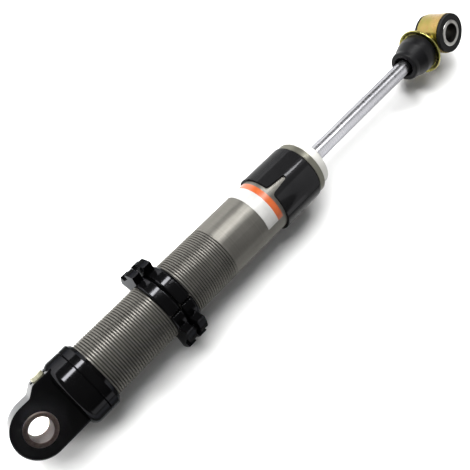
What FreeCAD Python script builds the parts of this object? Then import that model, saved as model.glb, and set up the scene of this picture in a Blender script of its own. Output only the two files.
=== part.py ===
import FreeCAD, Part
import os
import Sketcher

doc = FreeCAD.newDocument("ShockAbsorber")
sheet = doc.addObject("Spreadsheet::Sheet", "Sizes")

# Driving sizes in millimetres and degrees.
# X runs from the body eye to the rod eye, and Z lies along the body eye's bore.
drivingSizes = {
    # Fits and cutting allowance
    "slideGap": "0.03",
    "threadGap": "0.06",
    "freeGap": "0.3",
    "cutMargin": "2",
    # Body tube
    "tubeStart": "31",
    "tubeLength": "234.6",
    "tubeRadius": "22.225",
    "tubeWall": "3.175",
    "collarStep": "0.975",
    "collarLength": "5.4",
    "collarEdge": "0.4",
    "wireSection": "1.6",
    "wireInset": "2.6",
    "wireDepth": "0.9",
    "threadLead": "2.48",
    "threadLength": "120.6",
    "threadPitch": "1.953",
    "threadDepth": "0.9",
    "threadHalf": "0.72",
    # End cap, its tang and its eye
    "capWall": "3.875",
    "capFloor": "7.2",
    "capOverlap": "17.2",
    "capEdge": "1",
    "shoulderStep": "5.7",
    "shoulderRun": "1.2",
    "shoulderRise": "2.9",
    "shoulderTopRun": "3",
    "shoulderTopStep": "0.9",
    "bandRun": "5.2",
    "veeInset": "8.8",
    "veeHalf": "0.55",
    "capSealInset": "4",
    "capSealWidth": "2.4",
    "capSealDepth": "1.6",
    "eyeWall": "7.8",
    "tangThickness": "25.4",
    "tangEdge": "1",
    "flareInset": "16.2",
    "flareRun": "6.3",
    "flareStep": "4.7",
    "flareBend": "3",
    "bushBore": "7.95",
    "bushWall": "3.05",
    "bushProud": "1.3",
    "bushEdge": "0.5",
    # Fill screw and gas passage
    "screwInset": "11",
    "spotRadius": "6.4",
    "spotDepth": "0.9",
    "screwHeadRadius": "4.6",
    "screwHeadHeight": "3.4",
    "screwShankRadius": "3",
    "screwShankLength": "11",
    "screwHoleSpare": "2",
    "screwSlotWidth": "1.2",
    "screwSlotDepth": "1.1",
    "fillSealSection": "0.6",
    "fillSealStep": "0.5",
    "gasPassageRadius": "1.25",
    "gasPassageLift": "0.25",
    # Lock ring and preload ring
    "ringLength": "10.1",
    "ringWall": "3.575",
    "ringStandOff": "56.5",
    "ringNearEdge": "0.8",
    "ringFarEdge": "2",
    "lugHeight": "8.5",
    "lugThickness": "6.5",
    "lugHalfAngle": "33",
    "lugRootAngle": "29",
    "lugRootDepth": "1.8",
    "lugSpread": "162",
    "lugTurn": "-94.5",
    "notchHalf": "6",
    "notchDepth": "4.6",
    "slitWidth": "2.2",
    "slitTurnLock": "12.5",
    "slitTurnPreload": "9",
    # Spring sleeve
    "sleeveLength": "39.1",
    "sleeveWall": "2.075",
    "sleeveShoulder": "2.6",
    "sleeveMid": "1.2",
    "sleeveMidStep": "0.3",
    "sleeveTopStep": "1.4",
    "slotMouthHalf": "3.3",
    "slotTipHalf": "1.5",
    "slotTipFlat": "0.2",
    "slotMouthRound": "2.5",
    "slotLength": "17",
    "slotTurn": "-21.5",
    # Seal head and the pieces in it
    "headMainLength": "15.4",
    "headGrooveStep": "1.3",
    "headFlangeStep": "1.35",
    "headFlangeLength": "7.4",
    "headRimStep": "0.5",
    "headRimLength": "2.2",
    "headBossLength": "5.4",
    "headBossWall": "6.85",
    "headEdge": "0.8",
    "headSealInset": "6",
    "headSealWidth": "2.6",
    "headSealDepth": "2",
    "guideWall": "1.25",
    "guideLength": "12",
    "rodSealInset": "4",
    "rodSealLength": "5",
    "rodSealSection": "3.25",
    "wiperLength": "4.2",
    "wiperSection": "2.05",
    "wiperInset": "0.5",
    # Rod, piston and valve stack
    "rodRadius": "6.35",
    "rodLength": "236",
    "rodEdge": "0.6",
    "spigotStep": "1.35",
    "spigotTip": "2.2",
    "nutLength": "7.8",
    "nutAcross": "17",
    "plateThickness": "2",
    "plateWall": "3.4",
    "shimStack": "2",
    "shimReach": "0.9",
    "shimStepReach": "2.1",
    "pistonLength": "16",
    "bandWidth": "8",
    "bandDepth": "1.85",
    "bandPlay": "0.2",
    "portRadius": "2.3",
    "portInset": "7",
    "portCount": "6",
    "spacerLength": "5.7",
    "spacerWall": "3.65",
    # Bump stop and its cup
    "bumpLength": "24.4",
    "bumpWall": "10.35",
    "bumpMouthWall": "2.25",
    "bumpMouthDepth": "8",
    "bumpNoseRun": "0.8",
    "bumpNoseEdge": "1.1",
    "bumpLipRun": "2.4",
    "bumpLipEdge": "0.5",
    "bumpLipStep": "3.8",
    "bumpConeSpan": "11",
    "bumpConeStep": "0.6",
    "bumpWideSpan": "5",
    "bumpEndEdge": "1",
    "bumpEndStep": "0.5",
    "cupDish": "1.5",
    "cupThickness": "1.6",
    "cupFlatReach": "0.7",
    "cupRim": "3.1",
    # Rod eye, its rubber and its inner sleeve
    "rodEyeTurn": "23.1",
    "rodTipWall": "1.2",
    "loopWall": "2.8",
    "loopLength": "20.4",
    "neckWall": "4.85",
    "neckClear": "10.3",
    "neckEndInset": "0.8",
    "neckSink": "6",
    "rubberWall": "2.9",
    "flangeReach": "2.2",
    "flangeThickness": "2.8",
    "innerSleeveBore": "7.95",
    "innerSleeveWall": "3.15",
    "innerSleeveProud": "0.4",
    "innerSleeveEdge": "0.4",
    # Floating piston
    "floatStandOff": "45",
    "floatLength": "16",
    "floatCupStep": "6.05",
    "floatCupDepth": "9",
    "floatSealInset": "2.5",
    "floatSealWidth": "2.6",
    "floatBandInset": "8",
    "floatBandWidth": "5",
    "floatGrooveDepth": "1.85",
}

# Sizes and places worked out from the driving ones.
derivedSizes = {
    # Body tube
    "boreRadius": "=tubeRadius - tubeWall",
    "collarRadius": "=tubeRadius + collarStep",
    "collarStart": "=tubeLength - collarLength",
    "collarEdgeAt": "=tubeLength - collarEdge",
    "collarEdgeRadius": "=collarRadius - collarEdge",
    "wireEnd": "=tubeLength - wireInset",
    "wireStart": "=wireEnd - wireSection",
    "wireOuter": "=boreRadius + wireDepth",
    "wireAt": "=tubeStart + wireStart",
    "threadAt": "=capOverlap - threadLead",
    "threadFloor": "=tubeRadius - threadDepth",
    "threadSlope": "=threadHalf / threadDepth",
    "threadTop": "=tubeRadius + freeGap",
    "threadTopHalf": "=threadSlope * (threadDepth + freeGap)",
    "threadFlankStart": "=threadAt - threadTopHalf",
    "threadFlankEnd": "=threadAt + threadTopHalf",
    # End cap
    "capRadius": "=tubeRadius + capWall",
    "capBore": "=tubeRadius + slideGap",
    "capEnd": "=tubeStart + capOverlap",
    "capEdgeAt": "=capEnd - capEdge",
    "capEdgeRadius": "=capRadius - capEdge",
    "shoulderStart": "=tubeStart - capFloor",
    "shoulderRadius": "=capRadius - shoulderStep",
    "shoulderMid": "=shoulderStart + shoulderRun",
    "shoulderMidRadius": "=shoulderRadius + shoulderRise",
    "shoulderTopAt": "=shoulderStart + shoulderTopRun",
    "shoulderTop": "=capRadius - shoulderTopStep",
    "bandStart": "=shoulderStart + bandRun",
    "veeCentre": "=capEnd - veeInset",
    "veeStart": "=veeCentre - veeHalf",
    "veeEnd": "=veeCentre + veeHalf",
    "veeRadius": "=capRadius - veeHalf",
    "capSealAt": "=tubeStart + capSealInset",
    "capSealEnd": "=capSealAt + capSealWidth",
    "capSealRadius": "=capBore + capSealDepth",
    "bushRadius": "=bushBore + bushWall",
    "bushSeat": "=bushRadius + slideGap",
    "bushLength": "=tangThickness + 2 * bushProud",
    "bushHalf": "=bushLength / 2",
    "bushEdgeAt": "=bushLength - bushEdge",
    "bushEdgeRadius": "=bushRadius - bushEdge",
    "eyeRadius": "=bushRadius + eyeWall",
    "eyeCut": "=tangThickness + cutMargin",
    "flareStart": "=shoulderStart - flareInset",
    "flareEnd": "=flareStart + flareRun",
    "flareReach": "=eyeRadius + flareStep",
    # Fill screw
    "screwAt": "=tubeStart - screwInset",
    "spotSeat": "=flareReach - spotDepth",
    "spotCut": "=capRadius - spotSeat + cutMargin",
    "screwHoleRadius": "=screwShankRadius + slideGap",
    "screwHoleDepth": "=screwShankLength + screwHoleSpare",
    "screwHoleFloor": "=spotSeat - screwHoleDepth",
    "screwTip": "=spotSeat - screwShankLength",
    "screwShankWhole": "=screwShankLength + fillSealSection",
    "screwSlotHalf": "=screwSlotWidth / 2",
    "screwSlotFloor": "=spotSeat + screwHeadHeight - screwSlotDepth",
    "screwSlotStart": "=screwAt - screwHeadRadius - cutMargin",
    "screwSlotLength": "=2 * (screwHeadRadius + cutMargin)",
    "fillSealRadius": "=screwHeadRadius - fillSealStep",
    "gasPassageAt": "=screwHoleFloor + gasPassageRadius + gasPassageLift",
    "gasPassageLength": "=screwInset + cutMargin",
    # Rings
    "ringRadius": "=tubeRadius + ringWall",
    "ringBore": "=tubeRadius + threadGap",
    "ringBlankBore": "=ringBore - cutMargin",
    "ringBoreCut": "=2 * (ringLength + cutMargin)",
    "ringNearRadius": "=ringRadius - ringNearEdge",
    "ringFarAt": "=ringLength - ringFarEdge",
    "ringFarRadius": "=ringRadius - ringFarEdge",
    "lockRingAt": "=capEnd + ringStandOff",
    "preloadRingAt": "=lockRingAt + ringLength + freeGap",
    "lugRadius": "=ringRadius + lugHeight",
    "lugRootRadius": "=ringRadius - lugRootDepth",
    "lugCornerHalf": "=lugRadius * sin(lugHalfAngle * 1deg)",
    "lugCornerHeight": "=lugRadius * cos(lugHalfAngle * 1deg)",
    "lugRootHalf": "=lugRootRadius * sin(lugRootAngle * 1deg)",
    "lugRootHeight": "=lugRootRadius * cos(lugRootAngle * 1deg)",
    "notchFloor": "=lugRadius - notchDepth",
    "notchTop": "=sqrt(lugRadius * lugRadius - notchHalf * notchHalf)",
    "slitHalf": "=slitWidth / 2",
    "slitReach": "=lugRadius + cutMargin",
    # Spring sleeve
    "sleeveAt": "=tubeStart + collarStart - sleeveLength",
    "sleeveBore": "=tubeRadius + slideGap",
    "sleeveRadius": "=tubeRadius + sleeveWall",
    "sleeveShoulderAt": "=sleeveLength - sleeveShoulder",
    "sleeveMidAt": "=sleeveLength - sleeveMid",
    "sleeveMidRadius": "=sleeveRadius - sleeveMidStep",
    "sleeveTopRadius": "=sleeveRadius - sleeveTopStep",
    "slotTipRound": "=slotTipHalf - slotTipFlat",
    "slotCut": "=sleeveRadius + cutMargin",
    # Seal head
    "headAt": "=wireAt - headMainLength",
    "headRadius": "=boreRadius - slideGap",
    "headGrooveRadius": "=boreRadius - headGrooveStep",
    "headGrooveEnd": "=headMainLength + wireSection",
    "headRimAt": "=headGrooveEnd + wireInset",
    "headRimEnd": "=headRimAt + headRimLength",
    "headFlangeRadius": "=boreRadius + headFlangeStep",
    "headRimRadius": "=headFlangeRadius + headRimStep",
    "headFlangeEnd": "=headRimAt + headFlangeLength",
    "headBossRadius": "=rodRadius + headBossWall",
    "headLength": "=headFlangeEnd + headBossLength",
    "headEdgeAt": "=headLength - headEdge",
    "headEdgeRadius": "=headBossRadius - headEdge",
    "headSealEnd": "=headSealInset + headSealWidth",
    "headSealFloor": "=headRadius - headSealDepth",
    "headSealAt": "=headAt + headSealInset",
    "wireInner": "=headGrooveRadius + slideGap",
    "guideRadius": "=rodRadius + guideWall",
    "guideFit": "=guideRadius - slideGap",
    "rodClear": "=rodRadius + freeGap",
    "rodFit": "=rodRadius + slideGap",
    "rodSealStart": "=guideLength + rodSealInset",
    "rodSealEnd": "=rodSealStart + rodSealLength",
    "rodSealRadius": "=rodRadius + rodSealSection",
    "rodSealFit": "=rodSealRadius - slideGap",
    "rodSealAt": "=headAt + rodSealStart",
    "wiperSeat": "=headLength - wiperInset - wiperLength",
    "wiperRadius": "=rodRadius + wiperSection",
    "wiperFit": "=wiperRadius - slideGap",
    "wiperAt": "=headAt + wiperSeat",
    # Rod, piston and valve stack
    "spigotRadius": "=rodRadius - spigotStep",
    "spigotEdgeRadius": "=spigotRadius - rodEdge",
    "spigotFit": "=spigotRadius + slideGap",
    "spigotLength": "=spigotTip + nutLength + 2 * plateThickness + 2 * shimStack + pistonLength",
    "spacerAt": "=headAt - freeGap - spacerLength",
    "spacerRadius": "=rodRadius + spacerWall",
    "rodAt": "=spacerAt - spigotLength",
    "rodEdgeAt": "=rodLength - rodEdge",
    "rodEdgeRadius": "=rodRadius - rodEdge",
    "reboundPlateAt": "=spacerAt - plateThickness",
    "reboundShimsAt": "=reboundPlateAt - shimStack",
    "pistonAt": "=reboundShimsAt - pistonLength",
    "compressionShimsAt": "=pistonAt - shimStack",
    "compressionPlateAt": "=compressionShimsAt - plateThickness",
    "nutAt": "=compressionPlateAt - nutLength",
    "nutCorner": "=nutAcross / 2 / cos(30deg)",
    "plateRadius": "=spigotRadius + plateWall",
    "portCircle": "=spigotRadius + portInset",
    "portStep": "=360 - 360 / portCount",
    "portCut": "=2 * (pistonLength + cutMargin)",
    "shimRadius": "=portCircle + portRadius + shimReach",
    "shimStepRadius": "=plateRadius + shimStepReach",
    "shimMid": "=shimStack / 2",
    "pistonRadius": "=boreRadius - freeGap",
    "bandGrooveStart": "=(pistonLength - bandWidth) / 2",
    "bandGrooveEnd": "=bandGrooveStart + bandWidth",
    "bandGrooveRadius": "=boreRadius - bandDepth",
    "bandInner": "=bandGrooveRadius + threadGap",
    "bandOuter": "=boreRadius - slideGap",
    "bandLength": "=bandWidth - 2 * bandPlay",
    "bandAt": "=pistonAt + bandGrooveStart + bandPlay",
    # Rod eye
    "innerSleeveRadius": "=innerSleeveBore + innerSleeveWall",
    "loopBore": "=innerSleeveRadius + rubberWall",
    "loopRadius": "=loopBore + loopWall",
    "loopCut": "=loopLength + cutMargin",
    "loopCutHalf": "=loopCut / 2",
    "rodEyeAt": "=rodAt + rodLength + rodTipWall + loopBore",
    "neckAt": "=rodEyeAt - loopRadius - neckClear",
    "neckRadius": "=rodRadius + neckWall",
    "neckEnd": "=loopLength / 2 - neckEndInset",
    "neckLength": "=neckClear + loopRadius - loopBore + neckSink",
    "socketLength": "=rodAt + rodLength - neckAt",
    "rubberRadius": "=loopBore - slideGap",
    "rubberBore": "=innerSleeveRadius + slideGap",
    "rubberLength": "=loopLength + 2 * flangeThickness",
    "rubberHalf": "=rubberLength / 2",
    "rubberFarFlange": "=rubberLength - flangeThickness",
    "flangeRadius": "=loopBore + flangeReach",
    "innerSleeveLength": "=rubberLength + 2 * innerSleeveProud",
    "innerSleeveHalf": "=innerSleeveLength / 2",
    "innerSleeveEdgeAt": "=innerSleeveLength - innerSleeveEdge",
    "innerSleeveEdgeRadius": "=innerSleeveRadius - innerSleeveEdge",
    # Bump stop and cup
    "cupBack": "=cupDish + cupThickness",
    "cupAt": "=neckAt - cupBack",
    "cupFlat": "=bumpWide + cupFlatReach",
    "cupRadius": "=cupFlat + cupRim",
    "bumpAt": "=cupAt + cupDish - bumpLength",
    "bumpWide": "=rodRadius + bumpWall",
    "bumpMouth": "=rodRadius + bumpMouthWall",
    "bumpCone": "=bumpWide - bumpConeStep",
    "bumpLipFull": "=bumpWide - bumpLipStep",
    "bumpLip": "=bumpLipFull - bumpLipEdge",
    "bumpNose": "=bumpLip - bumpNoseEdge",
    "bumpEnd": "=bumpWide - bumpEndStep",
    "bumpConeAt": "=bumpLength - bumpConeSpan",
    "bumpWideAt": "=bumpLength - bumpWideSpan",
    "bumpEndAt": "=bumpLength - bumpEndEdge",
    # Floating piston
    "floatAt": "=tubeStart + floatStandOff",
    "floatFit": "=boreRadius - slideGap",
    "floatGrooveRadius": "=boreRadius - floatGrooveDepth",
    "floatGrooveFit": "=floatGrooveRadius + slideGap",
    "floatCupRadius": "=boreRadius - floatCupStep",
    "floatCupAt": "=floatLength - floatCupDepth",
    "floatSealEnd": "=floatSealInset + floatSealWidth",
    "floatBandEnd": "=floatBandInset + floatBandWidth",
    "floatSealAt": "=floatAt + floatSealInset",
    "floatBandAt": "=floatAt + floatBandInset",
}

allSizes = list(drivingSizes.items()) + list(derivedSizes.items())
for row, (alias, value) in enumerate(allSizes, start=1):
    sheet.set("A%d" % row, alias)
    sheet.set("B%d" % row, value)
    sheet.setAlias("B%d" % row, alias)
doc.recompute()

origin = FreeCAD.Vector(0, 0, 0)
alongX = FreeCAD.Vector(1, 0, 0)
alongY = FreeCAD.Vector(0, 1, 0)
upward = FreeCAD.Vector(0, 0, 1)
fullTurn = 360
lugCount = 2
nutSides = 6
samePoint = 1e-6
horizontalAxis, verticalAxis = -1, -2
startPoint, endPoint, centrePoint = 1, 2, 3
sketchOrigin = (horizontalAxis, startPoint)
pieces = []


def sizeOf(alias):
    value = sheet.get(alias)
    return float(getattr(value, "Value", value))


# A corner's place: None lies on the sketch's axis, a minus mirrors it, a tilde only starts it there.
def placeOf(alias):
    if alias is None:
        return 0.0
    if alias.startswith("-"):
        return -sizeOf(alias[1:])
    return sizeOf(alias.lstrip("~"))


def originFeature(body, role):
    for feature in body.Origin.OriginFeatures:
        if feature.Role == role:
            return feature
    raise RuntimeError("no origin feature " + role)


def newBody(label):
    body = doc.addObject("PartDesign::Body", label)
    body.Label = label
    return body


def newSketch(body, name, role):
    sketch = body.newObject("Sketcher::SketchObject", name)
    sketch.AttachmentSupport = [(originFeature(body, role), "")]
    sketch.MapMode = "FlatFace"
    return sketch


def bindDistance(sketch, kind, first, second, alias):
    number = sketch.addConstraint(Sketcher.Constraint(kind, *first, *second, sizeOf(alias)))
    sketch.setExpression("Constraints[%d]" % number, "Sizes." + alias)


def bindRadius(sketch, edge, alias):
    number = sketch.addConstraint(Sketcher.Constraint("Radius", edge, sizeOf(alias)))
    sketch.setExpression("Constraints[%d]" % number, "Sizes." + alias)


def pinPoint(sketch, point, along, across):
    for kind, alias, axis in (("DistanceX", along, verticalAxis), ("DistanceY", across, horizontalAxis)):
        if alias is None:
            sketch.addConstraint(Sketcher.Constraint("PointOnObject", *point, axis))
        elif alias.startswith("-"):
            bindDistance(sketch, kind, point, sketchOrigin, alias[1:])
        elif not alias.startswith("~"):
            bindDistance(sketch, kind, sketchOrigin, point, alias)


# Closed outline, listed counter-clockwise. The sides numbered in arcs are round about the origin.
def drawOutline(sketch, corners, arcs=()):
    points = [FreeCAD.Vector(placeOf(along), placeOf(across), 0) for along, across in corners]
    following = points[1:] + points[:1]
    edges = []
    for number, (start, end) in enumerate(zip(points, following)):
        side = Part.LineSegment(start, end)
        if number in arcs:
            middle = start + end
            if middle.Length < samePoint:
                middle = upward.cross(start)
            side = Part.Arc(start, middle * (start.Length / middle.Length), end)
        edges.append(sketch.addGeometry(side, False))
    for edge, nextEdge in zip(edges, edges[1:] + edges[:1]):
        sketch.addConstraint(Sketcher.Constraint("Coincident", edge, endPoint, nextEdge, startPoint))
    for number in arcs:
        sketch.addConstraint(Sketcher.Constraint("Coincident", edges[number], centrePoint, *sketchOrigin))
    for edge, corner in zip(edges, corners):
        pinPoint(sketch, (edge, startPoint), *corner)


def drawCircle(sketch, radiusAlias, acrossAlias=None):
    centre = FreeCAD.Vector(0, placeOf(acrossAlias), 0)
    edge = sketch.addGeometry(Part.Circle(centre, upward, sizeOf(radiusAlias)), False)
    pinPoint(sketch, (edge, centrePoint), None, acrossAlias)
    bindRadius(sketch, edge, radiusAlias)


def turn(body, name, corners, kind="PartDesign::Revolution"):
    sketch = newSketch(body, name + "Profile", "XY_Plane")
    drawOutline(sketch, corners)
    feature = body.newObject(kind, name)
    feature.Profile = sketch
    feature.ReferenceAxis = (sketch, ["H_Axis"])
    feature.Angle = fullTurn
    return feature


# Rounds the straight edges that stand across the sketch's plane at these corners.
def roundOff(body, base, name, corners, radiusAlias):
    doc.recompute()
    chosen = []
    for number, edge in enumerate(base.Shape.Edges, start=1):
        middle = edge.BoundBox.Center
        for along, across in corners:
            offset = FreeCAD.Vector(middle.x - placeOf(along), middle.y - placeOf(across), 0)
            if offset.Length < samePoint and edge.BoundBox.ZLength > samePoint:
                chosen.append("Edge%d" % number)
    fillet = body.newObject("PartDesign::Fillet", name)
    fillet.Base = (base, chosen)
    fillet.setExpression("Radius", "Sizes." + radiusAlias)
    return fillet


def extrude(body, sketch, name, kind, lengthAlias, symmetric=True):
    feature = body.newObject(kind, name)
    feature.Profile = sketch
    if symmetric:
        feature.SideType = "Symmetric"
    feature.setExpression("Length", "Sizes." + lengthAlias)
    return feature


def roundPattern(body, feature, name, angleAlias):
    pattern = body.newObject("PartDesign::PolarPattern", name)
    pattern.Originals = [feature]
    pattern.Axis = (originFeature(body, "X_Axis"), [""])
    pattern.setExpression("Angle", "Sizes." + angleAlias)
    body.Tip = pattern
    return pattern


def setBase(piece, alongAlias=None, acrossAlias=None, heightAlias=None):
    for letter, alias in zip("xyz", (alongAlias, acrossAlias, heightAlias)):
        if alias is None:
            continue
        sign = "-" if alias.startswith("-") else ""
        piece.setExpression("Placement.Base." + letter, sign + "Sizes." + alias.lstrip("-"))


def turnAboutX(piece, turnAlias):
    piece.Placement = FreeCAD.Placement(origin, FreeCAD.Rotation(alongX, sizeOf(turnAlias)))
    piece.setExpression("Placement.Rotation.Angle", "Sizes." + turnAlias)


def turnedPiece(label, corners, placeAlias):
    body = newBody(label)
    turn(body, label + "Turned", corners)
    setBase(body, placeAlias)
    pieces.append(body)
    return body


def plainRing(label, placeAlias, lengthAlias, outerAlias, innerAlias):
    return turnedPiece(label, [
        (None, innerAlias), (lengthAlias, innerAlias), (lengthAlias, outerAlias), (None, outerAlias),
    ], placeAlias)


def cylinder(name, radiusAlias, heightAlias, base, direction):
    tool = doc.addObject("Part::Cylinder", name)
    tool.Placement = FreeCAD.Placement(origin, FreeCAD.Rotation(upward, direction))
    tool.setExpression("Radius", "Sizes." + radiusAlias)
    tool.setExpression("Height", "Sizes." + heightAlias)
    setBase(tool, *base)
    return tool


def block(name, lengthAlias, widthAlias, heightAlias):
    tool = doc.addObject("Part::Box", name)
    tool.setExpression("Length", "Sizes." + lengthAlias)
    tool.setExpression("Width", "Sizes." + widthAlias)
    tool.setExpression("Height", "Sizes." + heightAlias)
    return tool


def joined(name, shapes):
    fusion = doc.addObject("Part::MultiFuse", name)
    fusion.Shapes = shapes
    return fusion


def cutPiece(label, base, tools):
    result = doc.addObject("Part::Cut", label)
    result.Label = label
    result.Base = base
    result.Tool = tools[0] if len(tools) == 1 else joined(label + "Tools", tools)
    pieces.append(result)
    return result


# Body tube with its collar, the retaining groove and a right-hand thread for the rings.
tube = turnedPiece("body_tube", [
    (None, "boreRadius"), ("wireStart", "boreRadius"), ("wireStart", "wireOuter"), ("wireEnd", "wireOuter"),
    ("wireEnd", "boreRadius"), ("tubeLength", "boreRadius"), ("tubeLength", "collarEdgeRadius"),
    ("collarEdgeAt", "collarRadius"), ("collarStart", "collarRadius"), ("collarStart", "tubeRadius"),
    (None, "tubeRadius"),
], "tubeStart")
threadSketch = newSketch(tube, "threadProfile", "XY_Plane")
drawOutline(threadSketch, [
    ("threadAt", "threadFloor"), ("threadFlankEnd", "threadTop"), ("threadFlankStart", "threadTop"),
])
thread = tube.newObject("PartDesign::SubtractiveHelix", "thread")
thread.Profile = threadSketch
thread.ReferenceAxis = (threadSketch, ["H_Axis"])
thread.setExpression("Pitch", "Sizes.threadPitch")
thread.setExpression("Height", "Sizes.threadLength")

# End cap: a turned cup joined to a flat tang with chamfered edges, then bored.
cupBody = newBody("end_cap_cup")
turn(cupBody, "capTurned", [
    ("shoulderStart", None), ("tubeStart", None), ("tubeStart", "capBore"), ("capSealAt", "capBore"),
    ("capSealAt", "capSealRadius"), ("capSealEnd", "capSealRadius"), ("capSealEnd", "capBore"),
    ("capEnd", "capBore"), ("capEnd", "capEdgeRadius"), ("capEdgeAt", "capRadius"), ("veeEnd", "capRadius"),
    ("veeCentre", "veeRadius"), ("veeStart", "capRadius"), ("bandStart", "capRadius"),
    ("shoulderTopAt", "shoulderTop"), ("shoulderMid", "shoulderMidRadius"),
    ("shoulderStart", "shoulderRadius"),
])
tangBody = newBody("end_cap_tang")
tangSketch = newSketch(tangBody, "tangOutline", "XY_Plane")
drawOutline(tangSketch, [
    (None, "-eyeRadius"), ("bandStart", "-eyeRadius"), ("bandStart", "flareReach"),
    ("flareEnd", "flareReach"), ("flareStart", "eyeRadius"), (None, "~eyeRadius"),
], arcs=(5,))
tangPad = extrude(tangBody, tangSketch, "tangPad", "PartDesign::Pad", "tangThickness")
flareBends = roundOff(tangBody, tangPad, "flareBends", [
    ("flareStart", "eyeRadius"), ("flareEnd", "flareReach"),
], "flareBend")
doc.recompute()
faceHeight = sizeOf("tangThickness") / 2
tangEdges = []
for number, edge in enumerate(tangBody.Shape.Edges, start=1):
    box = edge.BoundBox
    onFace = abs(abs(box.ZMin) - faceHeight) < samePoint and box.ZLength < samePoint
    atJoin = box.XMin > sizeOf("bandStart") - samePoint
    if onFace and not atJoin:
        tangEdges.append("Edge%d" % number)
tangChamfer = tangBody.newObject("PartDesign::Chamfer", "tangChamfer")
tangChamfer.Base = (flareBends, tangEdges)
tangChamfer.setExpression("Size", "Sizes.tangEdge")
cutPiece("end_cap", joined("end_cap_blank", [cupBody, tangBody]), [
    cylinder("eyeBore", "bushSeat", "eyeCut", (None, None, None), upward),
    cylinder("screwSpot", "spotRadius", "spotCut", ("screwAt", "spotSeat"), alongY),
    cylinder("screwHole", "screwHoleRadius", "screwHoleDepth", ("screwAt", "screwHoleFloor"), alongY),
    cylinder("gasPassage", "gasPassageRadius", "gasPassageLength", ("screwAt", "gasPassageAt"), alongX),
])
doc.getObject("eyeBore").setExpression("Placement.Base.z", "-Sizes.eyeCut / 2")
plainRing("cap_seal", "capSealAt", "capSealWidth", "capSealRadius", "capBore")

# Bush in the body eye, along Z.
bush = turnedPiece("eye_bush", [
    (None, "bushBore"), ("bushLength", "bushBore"), ("bushLength", "bushEdgeRadius"),
    ("bushEdgeAt", "bushRadius"), ("bushEdge", "bushRadius"), (None, "bushEdgeRadius"),
], None)
bush.Placement = FreeCAD.Placement(origin, FreeCAD.Rotation(alongX, upward))
setBase(bush, heightAlias="-bushHalf")

# Slotted fill screw and its seal, along Y.
screwTurn = FreeCAD.Rotation(alongX, alongY)
screwHead = newBody("fill_screw_head")
turn(screwHead, "screwTurned", [
    ("fillSealSection", None), ("screwHeadHeight", None), ("screwHeadHeight", "screwHeadRadius"),
    ("fillSealSection", "screwHeadRadius"),
])
screwHead.Placement = FreeCAD.Placement(origin, screwTurn)
setBase(screwHead, "screwAt", "spotSeat")
shank = cylinder("screwShank", "screwShankRadius", "screwShankWhole", ("screwAt", "screwTip"), alongY)
screwSlot = block("screwSlot", "screwSlotLength", "screwHeadHeight", "screwSlotWidth")
setBase(screwSlot, "screwSlotStart", "screwSlotFloor", "-screwSlotHalf")
cutPiece("fill_screw", joined("fill_screw_blank", [screwHead, shank]), [screwSlot])
fillSeal = plainRing("fill_seal", None, "fillSealSection", "fillSealRadius", "screwHoleRadius")
fillSeal.Placement = FreeCAD.Placement(origin, screwTurn)
setBase(fillSeal, "screwAt", "spotSeat")


# Threaded ring with notched lugs and a slit.
def ringPiece(label, placeAlias, slitAlias):
    body = newBody(label + "_blank")
    turn(body, label + "Band", [
        (None, "ringBlankBore"), ("ringLength", "ringBlankBore"), ("ringLength", "ringFarRadius"),
        ("ringFarAt", "ringRadius"), ("ringNearEdge", "ringRadius"), (None, "ringNearRadius"),
    ])
    lugSketch = newSketch(body, label + "LugOutline", "YZ_Plane")
    drawOutline(lugSketch, [
        ("-lugRootHalf", "lugRootHeight"), ("lugRootHalf", "lugRootHeight"),
        ("lugCornerHalf", "lugCornerHeight"), ("notchHalf", "~notchTop"), ("notchHalf", "notchFloor"),
        ("-notchHalf", "notchFloor"), ("-notchHalf", "~notchTop"), ("-lugCornerHalf", "lugCornerHeight"),
    ], arcs=(2, 6))
    lug = extrude(body, lugSketch, label + "Lug", "PartDesign::Pad", "lugThickness", symmetric=False)
    roundPattern(body, lug, label + "Lugs", "lugSpread").Occurrences = lugCount
    boreSketch = newSketch(body, label + "Bore", "YZ_Plane")
    drawCircle(boreSketch, "ringBore")
    extrude(body, boreSketch, label + "BorePocket", "PartDesign::Pocket", "ringBoreCut")
    turnAboutX(body, "lugTurn")
    setBase(body, placeAlias)
    slit = block(label + "Slit", "ringLength", "slitWidth", "slitReach")
    turnAboutX(slit, slitAlias)
    setBase(slit, placeAlias)
    slit.setExpression("Placement.Base.y", "-Sizes.slitHalf * cos(Sizes.%s * 1deg)" % slitAlias)
    slit.setExpression("Placement.Base.z", "-Sizes.slitHalf * sin(Sizes.%s * 1deg)" % slitAlias)
    cutPiece(label, body, [slit])


ringPiece("lock_ring", "lockRingAt", "slitTurnLock")
ringPiece("preload_ring", "preloadRingAt", "slitTurnPreload")

# Plastic sleeve with one tapered slot that opens at its lower edge.
sleeve = newBody("spring_sleeve")
turn(sleeve, "sleeveTurned", [
    (None, "sleeveBore"), ("sleeveLength", "sleeveBore"), ("sleeveLength", "sleeveTopRadius"),
    ("sleeveMidAt", "sleeveMidRadius"), ("sleeveShoulderAt", "sleeveRadius"), (None, "sleeveRadius"),
])
slotSketch = newSketch(sleeve, "slotOutline", "XY_Plane")
drawOutline(slotSketch, [
    (None, "-slotMouthHalf"), ("slotLength", "-slotTipHalf"), ("slotLength", "slotTipHalf"),
    (None, "slotMouthHalf"),
])
slotPocket = extrude(sleeve, slotSketch, "slotPocket", "PartDesign::Pocket", "slotCut", symmetric=False)
slotPocket.Reversed = True
slotTip = roundOff(sleeve, slotPocket, "slotTip", [
    ("slotLength", "-slotTipHalf"), ("slotLength", "slotTipHalf"),
], "slotTipRound")
roundOff(sleeve, slotTip, "slotMouth", [(None, "-slotMouthHalf"), (None, "slotMouthHalf")], "slotMouthRound")
turnAboutX(sleeve, "slotTurn")
setBase(sleeve, "sleeveAt")
pieces.append(sleeve)

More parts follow.
